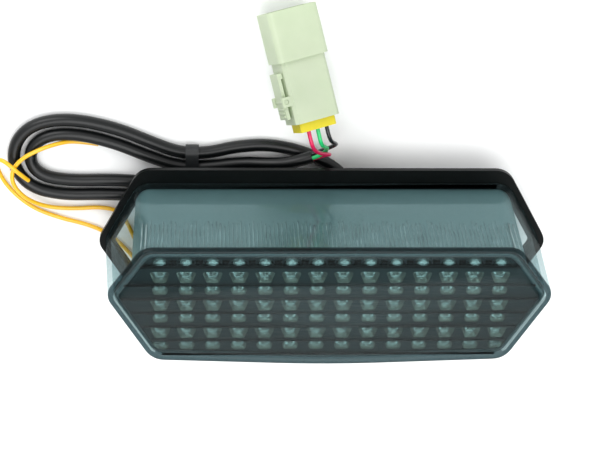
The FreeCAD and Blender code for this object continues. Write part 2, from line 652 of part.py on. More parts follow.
def connector_latch():
    """The latch lever on the connector's side: a thumb pad behind the pivot and a hook in front of it."""
    x0 = -PLUG_HALF - LEVER_RISE
    y0 = LEVER_PIVOT - PAD_L
    y1 = y0 + LEVER_L
    z0, z1 = LEVER_FROM, LEVER_FROM + LEVER_W
    plate = box(x0 - LEVER_T, x0, y0, y1, z0, z1)
    hook = box(x0, -PLUG_HALF - CLEAR, y1 - HOOK_L, y1, z0, z1)
    ridges = []
    for i in range(3):
        y = y0 + (i + 0.5) * RIDGE_PITCH
        ridges.append(box(x0 - LEVER_T - RIDGE_H, x0 - LEVER_T, y, y + RIDGE_W, z0 + 1, z1 - 1))
    pin = rod(PIVOT_R, Vector(-PIVOT_X, LEVER_PIVOT, z0 - EAR_T), Vector(-PIVOT_X, LEVER_PIVOT, z1 + EAR_T))
    return laid(plate.fuse([hook, pin] + ridges).removeSplitter())


def connector_retainer():
    """The yellow terminal lock that slides in the wire end of the connector."""
    block = box(-RETAINER_HALF, RETAINER_HALF, -RETAINER_OUT, RETAINER_IN, *RETAINER_Z)
    block = block.makeChamfer(RETAINER_EDGE, long_edges(block))
    holes = [rod(CORE_D / 2 + CORE_GAP, Vector(x, -RETAINER_OUT - 1, z), Vector(x, RETAINER_IN + 1, z))
             for x in WAY_X for z in WAY_Z]
    return laid(block.cut(holes))


def terminals():
    """The crimped terminals in the three ways that carry a wire."""
    made = []
    z = WAY_Z[1]
    for x in WAY_X:
        blade_from = WIRE_IN + CRIMP_L
        crimp = rod(CORE_D / 2 + CLEAR, Vector(x, WIRE_IN, z), Vector(x, blade_from, z))
        blade = box(x - WAY_HALF + CLEAR, x + WAY_HALF - CLEAR, blade_from, blade_from + BLADE_L,
                    z - WAY_HALF / 2, z + WAY_HALF / 2)
        made.append(laid(crimp.fuse(blade)))
    return Part.makeCompound(made)


def pigtail(name, route, x):
    """One wire from the end of the sleeve through the lock into its way."""
    start = -RETAINER_OUT - 2 * CORE_D
    inside = []
    for i, (aside, lift) in enumerate(((0, 0), (1, 0), (0, 1), (1, 0), (0, 0))):
        y = start + (WIRE_IN - start) * i / 4
        inside.append(laid_point(x + aside * WIRE_SLACK, y, WAY_Z[1] + lift * WIRE_SLACK))
    return cord(name, route + inside, CORE_D)


def tape_wrap():
    """The wrap that holds the two turns of the hank together."""
    y0, y1 = WRAP_Y
    x0, x1 = WRAP_X
    inner_r = CABLE_D / 2 + WRAP_GAP

    def stadium(radius, a, b):
        ends = [rod(radius, Vector(a, y, WRAP_Z), Vector(b, y, WRAP_Z)) for y in (y0, y1)]
        return box(a, b, y0, y1, WRAP_Z - radius, WRAP_Z + radius).fuse(ends)

    return stadium(inner_r + WRAP_T, x0, x1).cut(stadium(inner_r, x0 - 1, x1 + 1)).removeSplitter()


def main():
    os.makedirs("parts", exist_ok=True)
    save("lens_cover", lens_cover())
    save("lens_seal", lens_seal())
    save("rear_housing", rear_housing())
    save("threaded_inserts", threaded_inserts())
    save("breather_vent", breather_vent())
    save("cable_gland", cable_gland())
    save("cable_tail", cable_tail())
    save("led_carrier", led_carrier())
    save("carrier_screws", carrier_screws())
    save("led_board", led_board())
    save("board_screws", board_screws())
    save("reflector", reflector())
    save("left_turn_leds", led_group(range(TURN_COLUMNS)))
    save("stop_tail_leds", led_group(range(TURN_COLUMNS, COLUMNS - TURN_COLUMNS)))
    save("right_turn_leds", led_group(range(COLUMNS - TURN_COLUMNS, COLUMNS)))
    save("load_resistors", load_resistors())
    save("driver_chips", driver_chips())
    save("capacitor", capacitor())
    save("board_socket", board_socket())
    inner_leads()
    save("connector_housing", connector_housing())
    save("connector_latch", connector_latch())
    save("connector_retainer", connector_retainer())
    save("terminals", terminals())
    save("main_cable", cord("main_cable", CABLE_ROUTE, CABLE_D))
    save("tape_wrap", tape_wrap())
    save("yellow_wire_left", cord("yellow_wire_left", YELLOW_A_ROUTE, WIRE_D))
    save("yellow_wire_right", cord("yellow_wire_right", YELLOW_B_ROUTE, WIRE_D))
    save("red_wire", pigtail("red_wire", RED_ROUTE, WAY_X[0]))
    save("green_wire", pigtail("green_wire", GREEN_ROUTE, WAY_X[1]))
    save("black_wire", pigtail("black_wire", BLACK_ROUTE, WAY_X[2]))


main()
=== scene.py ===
import math

import bmesh
import bpy
from mathutils import Matrix, Vector


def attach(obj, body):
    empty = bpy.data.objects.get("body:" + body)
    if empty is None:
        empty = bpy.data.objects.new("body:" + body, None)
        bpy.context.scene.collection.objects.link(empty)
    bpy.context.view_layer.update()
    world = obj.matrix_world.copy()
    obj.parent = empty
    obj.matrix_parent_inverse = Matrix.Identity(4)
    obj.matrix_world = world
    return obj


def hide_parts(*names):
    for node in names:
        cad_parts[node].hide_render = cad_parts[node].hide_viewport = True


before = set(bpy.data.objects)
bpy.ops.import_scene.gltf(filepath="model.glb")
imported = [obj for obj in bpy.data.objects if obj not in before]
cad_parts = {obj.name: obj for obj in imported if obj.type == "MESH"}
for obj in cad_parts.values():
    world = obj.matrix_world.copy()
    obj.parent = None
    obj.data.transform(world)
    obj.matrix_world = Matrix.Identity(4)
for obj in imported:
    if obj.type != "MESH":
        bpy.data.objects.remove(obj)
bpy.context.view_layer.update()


def linear(code):
    """A colour written as in paint charts, as the linear values that a shader takes."""
    parts = [int(code[i:i + 2], 16) / 255 for i in (1, 3, 5)]
    return tuple(p / 12.92 if p <= 0.04045 else ((p + 0.055) / 1.055) ** 2.4 for p in parts) + (1.0,)


def add(material, kind, **values):
    """Adds a node. Capitalised values are its sockets, small ones its settings, and a pair is a link."""
    node = material.node_tree.nodes.new(kind)
    for name, value in values.items():
        if name[0].islower() and name[0] != "i":
            setattr(node, name, value)
            continue
        socket = node.inputs[int(name[1:])] if name[0] == "i" else node.inputs[name.replace("_", " ")]
        if isinstance(value, tuple) and isinstance(value[0], bpy.types.Node):
            material.node_tree.links.new(value[0].outputs[value[1]], socket)
        else:
            socket.default_value = value
    return node


def material_named(name):
    """An empty node material."""
    material = bpy.data.materials.new(name)
    material.use_nodes = True
    material.node_tree.nodes.clear()
    return material


def paint(node, material):
    """Gives a finished CAD node its material in every slot."""
    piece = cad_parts[node]
    if not piece.data.materials:
        piece.data.materials.append(material)
    for i in range(len(piece.data.materials)):
        piece.data.materials[i] = material


def mesh_piece(name, points, faces, material, smooth=True):
    """A mesh object from points in millimetres, with its normals outward."""
    mesh = bpy.data.meshes.new(name)
    mesh.from_pydata([(x / 1000, y / 1000, z / 1000) for x, y, z in points], [], faces)
    shape = bmesh.new()
    shape.from_mesh(mesh)
    bmesh.ops.recalc_face_normals(shape, faces=shape.faces)
    shape.to_mesh(mesh)
    shape.free()
    piece = bpy.data.objects.new(name, mesh)
    bpy.context.scene.collection.objects.link(piece)
    mesh.materials.append(material)
    if smooth:
        for face in mesh.polygons:
            face.use_smooth = True
    return piece


# ---- camera ----
# The lamp lies on its mounting bosses and is seen from above and a little from its upper side.

eye = Vector((-0.0427, 0.2989, 0.6524))
right = Vector((0.9988, 0.0205, 0.0440))
back = Vector((-0.0486, 0.4221, 0.9052)).normalized()
up = back.cross(right).normalized()
right = up.cross(back)
camera_data = bpy.data.cameras.new("camera")
camera_data.lens = 110.8
camera_data.sensor_width = 36.0
camera_data.clip_start = 0.05
camera = bpy.data.objects.new("camera", camera_data)
camera.matrix_world = Matrix.Translation(eye) @ Matrix((right, up, back)).transposed().to_4x4()
bpy.context.scene.collection.objects.link(camera)
bpy.context.scene.camera = camera


def route_curve(name, route, diameter, material):
    """A smooth round cord along given points in millimetres."""
    data = bpy.data.curves.new(name, "CURVE")
    data.dimensions = "3D"
    data.bevel_depth = diameter / 2000
    data.bevel_resolution = 5
    data.resolution_u = 10
    data.use_fill_caps = True
    spline = data.splines.new("NURBS")
    spline.points.add(len(route) - 1)
    for point, (x, y, z) in zip(spline.points, route):
        point.co = (x / 1000, y / 1000, z / 1000, 1)
    spline.order_u = 3
    spline.use_endpoint_u = True
    data.materials.append(material)
    piece = bpy.data.objects.new(name, data)
    bpy.context.scene.collection.objects.link(piece)
    return piece


# ---- main cable ----
# Round black PVC sleeve, 4.8 mm thick. It leaves the grommet under the lamp and lies in a loose
# hank of two turns, taped together, up to the connector's own wires.

cable_sleeve = material_named("soft black PVC sleeve")
where = add(cable_sleeve, "ShaderNodeTexCoord")
fine = add(cable_sleeve, "ShaderNodeTexNoise", Vector=(where, "Object"), Scale=900.0, Detail=4.0)
broad = add(cable_sleeve, "ShaderNodeTexNoise", Vector=(where, "Object"), Scale=70.0, Detail=2.0)
rough = add(cable_sleeve, "ShaderNodeMapRange", Value=(broad, "Fac"), To_Min=0.26, To_Max=0.44)
bump = add(cable_sleeve, "ShaderNodeBump", Height=(fine, "Fac"), Strength=0.25, Distance=0.0001)
sheen = add(cable_sleeve, "ShaderNodeBsdfPrincipled", Base_Color=linear("#070a0b"),
            Roughness=(rough, "Result"), Normal=(bump, "Normal"), Specular_IOR_Level=0.35)
add(cable_sleeve, "ShaderNodeOutputMaterial", Surface=(sheen, "BSDF"))

cable_route = [
    (22.4, 0.1, 5.2), (13.6, 0.1, 5.2), (3.0, -0.9, 3.4), (-11.0, -1.5, 2.5), (-28.0, 2.3, 2.5),
    (-46.0, 7.3, 2.5), (-66.0, 11.7, 2.5), (-84.0, 12.5, 2.5), (-99.0, 12.1, 2.5),
    (-111.0, 15.1, 2.5), (-117.4, 23.7, 2.5), (-116.2, 34.3, 2.5), (-108.4, 41.5, 2.5),
    (-95.0, 43.3, 2.5), (-78.0, 39.5, 2.5), (-65.0, 33.9, 2.8), (-54.5, 29.9, 3.3),
    (-44.0, 29.7, 3.3), (-33.0, 32.1, 2.5), (-20.5, 33.1, 2.5), (-7.0, 30.1, 2.5),
    (4.6, 24.1, 2.5), (11.8, 16.1, 2.5), (8.0, 7.7, 2.5), (-3.0, 5.5, 2.5), (-18.0, 6.7, 2.5),
    (-36.0, 10.1, 2.5), (-56.0, 16.1, 2.5), (-77.0, 18.5, 2.5), (-97.0, 17.9, 2.5),
    (-108.0, 20.3, 2.5), (-111.6, 27.7, 2.5), (-107.4, 35.3, 2.5), (-96.4, 37.7, 2.5),
    (-80.0, 34.1, 2.5), (-66.0, 28.1, 2.8), (-55.0, 24.3, 3.3), (-44.0, 24.1, 3.3),
    (-31.0, 25.9, 3.4), (-20.0, 26.3, 5.6), (-11.6, 27.7, 8.2), (-4.2, 30.3, 8.2),
]
main_cable = route_curve("main_cable_sleeve", cable_route, 4.8, cable_sleeve)
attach(main_cable, "lamp")
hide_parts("main_cable")

# ---- yellow signal wires ----
# Two thin PVC hook-up wires. They spring out of the coil in tight loops at the left and run in
# behind the end of the lamp.

yellow_pvc = material_named("glossy yellow PVC insulation")
where = add(yellow_pvc, "ShaderNodeTexCoord")
fine = add(yellow_pvc, "ShaderNodeTexNoise", Vector=(where, "Object"), Scale=700.0, Detail=3.0)
tone = add(yellow_pvc, "ShaderNodeMix", data_type="RGBA", Factor=(fine, "Fac"),
           i6=linear("#e0a80c"), i7=linear("#f0bd1c"))
bump = add(yellow_pvc, "ShaderNodeBump", Height=(fine, "Fac"), Strength=0.15, Distance=0.0001)
gloss = add(yellow_pvc, "ShaderNodeBsdfPrincipled", Base_Color=(tone, "Result"), Roughness=0.3,
            Normal=(bump, "Normal"), Coat_Weight=0.2)
add(yellow_pvc, "ShaderNodeOutputMaterial", Surface=(gloss, "BSDF"))

left_route = [
    (-85.0, 32.3, 1.0), (-94.0, 33.9, 1.2), (-101.0, 33.7, 4.4), (-107.4, 32.1, 6.6),
    (-113.6, 28.7, 6.7), (-117.6, 23.7, 6.7), (-117.4, 17.5, 6.5), (-112.6, 11.3, 5.4),
    (-105.0, 6.7, 2.2), (-95.0, 5.5, 1.0), (-85.0, 6.3, 1.0), (-77.6, 4.7, 1.0),
    (-74.0, -1.9, 1.0), (-71.6, -8.9, 1.0), (-66.0, -14.3, 1.0),
]
yellow_left = route_curve("yellow_signal_wire_left", left_route, 1.6, yellow_pvc)
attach(yellow_left, "lamp")
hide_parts("yellow_wire_left")

right_route = [
    (-111.4, 19.5, 6.2), (-114.6, 23.3, 8.6), (-118.6, 27.5, 8.8), (-122.4, 28.7, 6.4),
    (-123.6, 23.9, 3.2), (-120.4, 14.9, 1.0), (-111.8, 6.3, 1.0), (-101.0, 1.7, 1.0),
    (-90.0, -1.1, 1.0), (-82.0, -4.9, 1.0), (-75.4, -11.5, 1.0), (-70.6, -17.9, 1.0),
]
yellow_right = route_curve("yellow_signal_wire_right", right_route, 1.6, yellow_pvc)
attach(yellow_right, "lamp")
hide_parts("yellow_wire_right")

# ---- red, green and black wires ----
# The cable's three cores, 1.5 mm each. They fan out of the sleeve's end and go through the yellow
# lock into the connector.


def core_insulation(name, dark, light):
    """Slightly uneven, semi-gloss PVC in one colour."""
    material = material_named(name)
    where = add(material, "ShaderNodeTexCoord")
    noise = add(material, "ShaderNodeTexNoise", Vector=(where, "Object"), Scale=600.0, Detail=3.0)
    tone = add(material, "ShaderNodeMix", data_type="RGBA", Factor=(noise, "Fac"), i6=linear(dark),
               i7=linear(light))
    bump = add(material, "ShaderNodeBump", Height=(noise, "Fac"), Strength=0.15, Distance=0.0001)
    gloss = add(material, "ShaderNodeBsdfPrincipled", Base_Color=(tone, "Result"), Roughness=0.32,
                Normal=(bump, "Normal"))
    add(material, "ShaderNodeOutputMaterial", Surface=(gloss, "BSDF"))
    return material


core_routes = {
    "red": [(-3.85, 29.31, 7.7), (-0.41, 30.52, 7.7), (2.4, 31.8, 9.4), (1.9, 33.4, 13.2),
            (-1.0, 35.6, 18.0), (-3.5, 38.4, 23.0), (-5.1, 41.8, 27.0), (-6.12, 45.33, 27.14),
            (-7.21, 49.95, 25.63), (-8.54, 54.58, 24.36), (-9.67, 59.14, 22.72), (-11.04, 63.72, 21.32)],
    "green": [(-4.2, 30.3, 9.5), (-1.4, 31.28, 9.5), (0.6, 34.0, 11.9), (1.1, 37.2, 15.8),
              (-0.5, 39.6, 21.0), (-1.9, 42.4, 25.6), (-2.79, 45.82, 25.85), (-3.88, 50.43, 24.34),
              (-5.21, 55.06, 23.08), (-6.35, 59.62, 21.43), (-7.72, 64.2, 20.03)],
    "black": [(-4.55, 31.29, 7.7), (-1.4, 32.4, 7.7), (2.5, 34.9, 9.9), (4.5, 37.8, 14.0),
              (3.6, 40.4, 19.4), (1.7, 43.0, 23.9), (0.54, 46.3, 24.56), (-0.56, 50.92, 23.05),
              (-1.88, 55.55, 21.79), (-3.02, 60.11, 20.14), (-4.39, 64.68, 18.74)],
}
core_colours = {"red": ("#b80b46", "#d81858"), "green": ("#12a85c", "#22c873"),
                "black": ("#0c0e10", "#181a1e")}
for colour, route in core_routes.items():
    core = route_curve(colour + "_core", route, 1.5,
                       core_insulation(colour + " PVC core insulation", *core_colours[colour]))
    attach(core, "lamp")
    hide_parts(colour + "_wire")

# ---- tape ----
# One turn of matt black PVC tape round the two turns of the hank.

tape = material_named("matt black PVC tape")
where = add(tape, "ShaderNodeTexCoord")
wrinkle = add(tape, "ShaderNodeTexNoise", Vector=(where, "Object"), Scale=400.0, Detail=5.0)
bump = add(tape, "ShaderNodeBump", Height=(wrinkle, "Fac"), Strength=0.5, Distance=0.0002)
cover = add(tape, "ShaderNodeBsdfPrincipled", Base_Color=linear("#101416"), Roughness=0.5,
            Normal=(bump, "Normal"))
add(tape, "ShaderNodeOutputMaterial", Surface=(cover, "BSDF"))
paint("tape_wrap", tape)

# ---- connector ----
# Six-way housing and latch of natural, unfilled nylon: milky, faintly green, with light going
# through its thin walls. Its terminal lock is the same nylon dyed yellow.


def nylon(name, colour, depth, haze):
    """Milky moulded nylon that lets light through its thin walls."""
    material = material_named(name)
    where = add(material, "ShaderNodeTexCoord")
    cloud = add(material, "ShaderNodeTexNoise", Vector=(where, "Object"), Scale=120.0, Detail=3.0)
    tone = add(material, "ShaderNodeMix", data_type="RGBA", Factor=(cloud, "Fac"),
               i6=linear(colour), i7=linear(depth))
    fine = add(material, "ShaderNodeTexNoise", Vector=(where, "Object"), Scale=1500.0, Detail=2.0)
    bump = add(material, "ShaderNodeBump", Height=(fine, "Fac"), Strength=0.12, Distance=0.0001)
    skin = add(material, "ShaderNodeBsdfPrincipled", Base_Color=(tone, "Result"), Roughness=0.34,
               Normal=(bump, "Normal"), IOR=1.53, Specular_IOR_Level=0.45)
    through = add(material, "ShaderNodeBsdfTranslucent", Color=(tone, "Result"), Normal=(bump, "Normal"))
    both = add(material, "ShaderNodeMixShader", Fac=haze, i1=(skin, "BSDF"), i2=(through, "BSDF"))
    add(material, "ShaderNodeOutputMaterial", Surface=(both, "Shader"))
    return material


natural_nylon = nylon("natural moulded nylon", "#d6dfc8", "#c9d6ba", 0.42)
yellow_nylon = nylon("yellow moulded nylon", "#efe23a", "#e0d02a", 0.35)
paint("connector_housing", natural_nylon)
paint("connector_latch", natural_nylon)
paint("connector_retainer", yellow_nylon)
paint("board_socket", natural_nylon)

# ---- terminals, inserts and screws ----
# Stamped tinned-brass blades, turned brass inserts in the bosses and small zinc-plated screws.


def metal(name, colour, roughness):
    """Machined or plated metal with fine scratches."""
    material = material_named(name)
    where = add(material, "ShaderNodeTexCoord")
    grain = add(material, "ShaderNodeTexNoise", Vector=(where, "Object"), Scale=1200.0, Detail=4.0)
    rough = add(material, "ShaderNodeMapRange", Value=(grain, "Fac"), To_Min=roughness - 0.08,
                To_Max=roughness + 0.1)
    bump = add(material, "ShaderNodeBump", Height=(grain, "Fac"), Strength=0.2, Distance=0.0001)
    face = add(material, "ShaderNodeBsdfPrincipled", Base_Color=linear(colour), Metallic=1.0,
               Roughness=(rough, "Result"), Normal=(bump, "Normal"))
    add(material, "ShaderNodeOutputMaterial", Surface=(face, "BSDF"))
    return material


paint("terminals", metal("stamped tinned brass", "#c8c2ac", 0.3))
paint("threaded_inserts", metal("turned brass", "#c9a052", 0.28))
zinc_plated = metal("zinc-plated steel", "#b4b8bc", 0.3)
paint("carrier_screws", zinc_plated)
paint("board_screws", zinc_plated)

# ---- rear housing ----
# Injection-moulded black ABS with a fine even texture and patchy gloss.

black_abs = material_named("fine-textured moulded black ABS")
where = add(black_abs, "ShaderNodeTexCoord")
leather = add(black_abs, "ShaderNodeTexNoise", Vector=(where, "Object"), Scale=1400.0, Detail=3.0)
patchy = add(black_abs, "ShaderNodeTexNoise", Vector=(where, "Object"), Scale=40.0, Detail=3.0)
rough = add(black_abs, "ShaderNodeMapRange", Value=(patchy, "Fac"), To_Min=0.3, To_Max=0.46)
bump = add(black_abs, "ShaderNodeBump", Height=(leather, "Fac"), Strength=0.25, Distance=0.0001)
moulding = add(black_abs, "ShaderNodeBsdfPrincipled", Base_Color=linear("#030606"),
               Roughness=(rough, "Result"), Normal=(bump, "Normal"), Specular_IOR_Level=0.08)
add(black_abs, "ShaderNodeOutputMaterial", Surface=(moulding, "BSDF"))
paint("rear_housing", black_abs)

# ---- rubber pieces ----
# Grommet, breather and lens gasket of soft black rubber, quite matt. The end of the cable's
# sleeve shows inside the grommet.

rubber = material_named("soft moulded black rubber")
where = add(rubber, "ShaderNodeTexCoord")
dusty = add(rubber, "ShaderNodeTexNoise", Vector=(where, "Object"), Scale=300.0, Detail=4.0)
tone = add(rubber, "ShaderNodeMix", data_type="RGBA", Factor=(dusty, "Fac"), i6=linear("#0d0f10"),
           i7=linear("#1b1e1f"))
bump = add(rubber, "ShaderNodeBump", Height=(dusty, "Fac"), Strength=0.3, Distance=0.0001)
soft = add(rubber, "ShaderNodeBsdfPrincipled", Base_Color=(tone, "Result"), Roughness=0.62,
           Normal=(bump, "Normal"))
add(rubber, "ShaderNodeOutputMaterial", Surface=(soft, "BSDF"))
for node in ("cable_gland", "breather_vent", "lens_seal"):
    paint(node, rubber)
paint("cable_tail", cable_sleeve)

# ---- lens ----
# One-piece smoked polycarbonate cover, 160 mm wide at its face: a hexagon with rounded corners,
# drafted sides, a raised border round a slightly sunk face, and fine cross ribs inside it.


def smoked(name, tint, mirror):
    """Clear tinted polycarbonate: straight through at the middle, mirror-like at a low angle."""
    material = material_named(name)
    where = add(material, "ShaderNodeTexCoord")
    ripple = add(material, "ShaderNodeTexNoise", Vector=(where, "Object"), Scale=60.0, Detail=2.0)
    bump = add(material, "ShaderNodeBump", Height=(ripple, "Fac"), Strength=0.05, Distance=0.0004)
    fresnel = add(material, "ShaderNodeFresnel", IOR=1.5, Normal=(bump, "Normal"))
    part = add(material, "ShaderNodeMath", operation="MULTIPLY", i0=(fresnel, "Fac"), i1=mirror)
    clear = add(material, "ShaderNodeBsdfTransparent", Color=linear(tint))
    gloss = add(material, "ShaderNodeBsdfGlossy", Color=(0.85, 0.93, 0.93, 1.0), Roughness=0.12,
                Normal=(bump, "Normal"))
    both = add(material, "ShaderNodeMixShader", Fac=(part, "Value"), i1=(clear, "BSDF"), i2=(gloss, "BSDF"))
    add(material, "ShaderNodeOutputMaterial", Surface=(both, "Shader"))
    return material


lens_wall = smoked("smoked polycarbonate wall", "#dbe5e6", 0.09)
lens_face = smoked("smoked polycarbonate face", "#b9c8ca", 0.25)


def lens_outline(z, inset, corner_steps=6):
    """The lens outline at one height, clockwise from the upper left. Its sides move inwards by inset:
    one amount, or four for the upper side, the upper slopes, the lower slopes and the lower side."""
    upper, slope, lower, under = inset if isinstance(inset, tuple) else (inset,) * 4
    shifts = (upper, slope, lower, under, under, lower, slope)
    part = (70.8 - z) / 50.0
    corners = [(-66.5 - 3.0 * part, 21.33 + 3.4 * part, 8.0), (66.5 + 3.0 * part, 21.33 + 3.4 * part, 8.0),
               (80.0 + 3.0 * part, 3.13 - 2.5 * part, 6.0), (63.5 + 3.0 * part, -22.87 - 3.0 * part, 8.0),
               (0.0, -25.07 - 3.0 * part, 560.0), (-63.5 - 3.0 * part, -22.87 - 3.0 * part, 8.0),
               (-80.0 - 3.0 * part, 3.13 - 2.5 * part, 6.0)]
    count = len(corners)
    sides = []
    for i in range(count):
        a, b = Vector(corners[i][:2]), Vector(corners[(i + 1) % count][:2])
        normal = Vector((b.y - a.y, a.x - b.x)).normalized()
        sides.append((normal, normal.dot(a) + shifts[i]))
    points = []
    moved = []
    for i in range(count):
        (n1, c1), (n2, c2) = sides[i - 1], sides[i]
        det = n1.x * n2.y - n2.x * n1.y
        moved.append(Vector(((c1 * n2.y - c2 * n1.y) / det, (n1.x * c2 - n2.x * c1) / det)))
    for i, corner in enumerate(moved):
        before = (moved[i - 1] - corner).normalized()
        after = (moved[(i + 1) % count] - corner).normalized()
        half = before.angle(after) / 2
        radius = corners[i][2] if i == 4 else max(corners[i][2] - max(lower, 0.0), 1.5)
        centre = corner + (before + after).normalized() * (radius / math.sin(half))
        first = corner + before * (radius / math.tan(half)) - centre
        last = corner + after * (radius / math.tan(half)) - centre
        turn = -(math.pi - 2 * half)
        for step in range(corner_steps + 1):
            angle = turn * step / corner_steps
            points.append(centre + Matrix.Rotation(angle, 2) @ first)
    return [(p.x, p.y, z) for p in points]


def lens_shell():
    """Closed shell: up the outside, over the border, across the face, and back down the inside."""
    rings = [lens_outline(20.8, 0.0), lens_outline(21.2, 0.0), lens_outline(45.0, 0.0),
             lens_outline(69.2, 0.0),
             lens_outline(69.5, 0.0), lens_outline(70.0, 0.15), lens_outline(70.4, 0.45),
             lens_outline(70.7, 0.9),
             lens_outline(70.8, 1.4), lens_outline(70.8, (1.6, 2.0, 2.1, 2.1)),
             lens_outline(70.8, (5.8, 4.4, 2.4, 2.4)),
             lens_outline(70.7, (6.0, 4.6, 2.6, 2.6)), lens_outline(69.9, (6.2, 4.9, 2.9, 2.9)),
             lens_outline(69.8, (6.5, 5.2, 3.2, 3.2))]
    inner = [lens_outline(68.8, 3.4), lens_outline(68.5, 2.5), lens_outline(67.6, 2.0),
             lens_outline(67.2, 2.0),
             lens_outline(45.0, 2.0), lens_outline(20.8, 2.0)]
    count = len(rings[0])
    points = [p for ring in rings + inner for p in ring]
    faces = []
    for level in range(len(rings) - 1):
        for i in range(count):
            j = (i + 1) % count
            faces.append((level * count + i, level * count + j, (level + 1) * count + j,
                          (level + 1) * count + i))
    top = (len(rings) - 1) * count
    faces.append(tuple(range(top, top + count)))
    base = len(rings) * count
    faces.append(tuple(range(base + count - 1, base - 1, -1)))
    for level in range(len(inner) - 1):
        for i in range(count):
            j = (i + 1) % count
            a = base + level * count
            faces.append((a + i, a + count + i, a + count + j, a + j))
    last = base + (len(inner) - 1) * count
    for i in range(count):
        j = (i + 1) % count
        faces.append((last + i, i, j, last + j))
    return points, faces


shell_points, shell_faces = lens_shell()
lens = mesh_piece("smoked_lens_cover", shell_points, shell_faces, lens_wall)
# Parts of this one-piece lens get tints of their own: the step near black and the outer edge dark, as painted
# shade for the dark step line and the dark outline, and the lower slopes grey, as a painted highlight tone
# for their bright rim.
for finish in (lens_face, smoked("smoked polycarbonate step with painted shade", "#0d1214", 0.25),
               smoked("smoked polycarbonate edge with painted shade", "#4f6064", 0.3),
               smoked("smoked polycarbonate lower slope with painted highlight", "#93a1a3", 0.25)):
    lens.data.materials.append(finish)
face, step, edge, slope = 1, 2, 3, 4
edge_points = 9 * len(lens_outline(0, 0))
face_floor, border_floor, step_floor = 0.0684, 0.0693, 0.0698
for polygon in lens.data.polygons:
    place, facing = polygon.center, abs(polygon.normal.z)
    if place.z > face_floor and facing > 0.95:
        polygon.material_index = face
    if place.z > border_floor and min(polygon.vertices) < edge_points:
        polygon.material_index = edge
    elif place.z > border_floor and place.y < 0.002 and len(polygon.vertices) == 4:
        polygon.material_index = edge if place.y < -0.019 else slope
    if facing < 0.8 and place.z > step_floor and 0.013 < place.y < 0.0158:
        polygon.material_index = step
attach(lens, "lamp")
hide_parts("lens_cover")

# ---- LED carrier ----
# Dark grey-green ABS frame that fills the lens behind the LEDs. Its upper wall shows through the
# side of the lens as one even slate surface.

slate_abs = material_named("satin moulded slate ABS")
where = add(slate_abs, "ShaderNodeTexCoord")
grain = add(slate_abs, "ShaderNodeTexNoise", Vector=(where, "Object"), Scale=1200.0, Detail=3.0)
tone = add(slate_abs, "ShaderNodeMix", data_type="RGBA", Factor=(grain, "Fac"), i6=linear("#7d8f90"),
           i7=linear("#889b9c"))
bump = add(slate_abs, "ShaderNodeBump", Height=(grain, "Fac"), Strength=0.2, Distance=0.0001)
satin = add(slate_abs, "ShaderNodeBsdfPrincipled", Base_Color=(tone, "Result"), Roughness=0.42,
            Normal=(bump, "Normal"))
add(slate_abs, "ShaderNodeOutputMaterial", Surface=(satin, "BSDF"))
paint("led_carrier", slate_abs)

# ---- reflector ----
# ABS tray 10 mm deep. Its front is a dark satin whose slate colour is a painted reflection of dark
# surroundings, and under each of the 14 x 3 LED places two pockets are vacuum-metallised: a wide upper one
# and a smaller round-cornered one below a lens rib.

front_painted_reflection = material_named("satin reflector front with painted dark reflection")
where = add(front_painted_reflection, "ShaderNodeTexCoord")
grain = add(front_painted_reflection, "ShaderNodeTexNoise", Vector=(where, "Object"), Scale=500.0, Detail=3.0)
# Painted reflection: these dark slate colours stand in for the dark surroundings that the face reflects.
tone = add(front_painted_reflection, "ShaderNodeMix", data_type="RGBA", Factor=(grain, "Fac"), i6=linear("#303b3d"),
           i7=linear("#3b4749"))
bump = add(front_painted_reflection, "ShaderNodeBump", Height=(grain, "Fac"), Strength=0.15, Distance=0.0001)
satin = add(front_painted_reflection, "ShaderNodeBsdfPrincipled", Base_Color=(tone, "Result"), Roughness=0.4,
            Normal=(bump, "Normal"))
add(front_painted_reflection, "ShaderNodeOutputMaterial", Surface=(satin, "BSDF"))

metallised = material_named("vacuum-metallised ABS")
where = add(metallised, "ShaderNodeTexCoord")
orange_peel = add(metallised, "ShaderNodeTexNoise", Vector=(where, "Object"), Scale=350.0, Detail=3.0)
rough = add(metallised, "ShaderNodeMapRange", Value=(orange_peel, "Fac"), To_Min=0.14, To_Max=0.3)
bump = add(metallised, "ShaderNodeBump", Height=(orange_peel, "Fac"), Strength=0.35, Distance=0.0004)
mirror = add(metallised, "ShaderNodeBsdfPrincipled", Base_Color=linear("#e6e2da"), Metallic=1.0,
             Roughness=(rough, "Result"), Normal=(bump, "Normal"))
add(metallised, "ShaderNodeOutputMaterial", Surface=(mirror, "BSDF"))


def pocket_outline(x, y, top, bottom, height, corner, z):
    """A round-cornered trapezoid, clockwise, whose upper side is top wide and whose lower one bottom."""
    corners = [(-top / 2, height / 2, 1, -1), (top / 2, height / 2, -1, -1),
               (bottom / 2, -height / 2, -1, 1), (-bottom / 2, -height / 2, 1, 1)]
    ring = []
    for i, (cx, cy, sx, sy) in enumerate(corners):
        start = math.pi - i * math.pi / 2
        for step in range(4):
            angle = start - step * math.pi / 6
            ring.append((x + cx + sx * corner + corner * math.cos(angle),
                         y + cy + sy * corner + corner * math.sin(angle), z))
    return ring


def add_ring(points, faces, ring, before):
    """Adds a ring of points and joins it to the ring that starts at before. Returns its own start."""
    start = len(points)
    points.extend(ring)
    count = len(ring)
    if before is not None:
        for i in range(count):
            j = (i + 1) % count
            faces.append((before + i, before + j, start + j, start + i))
    return start


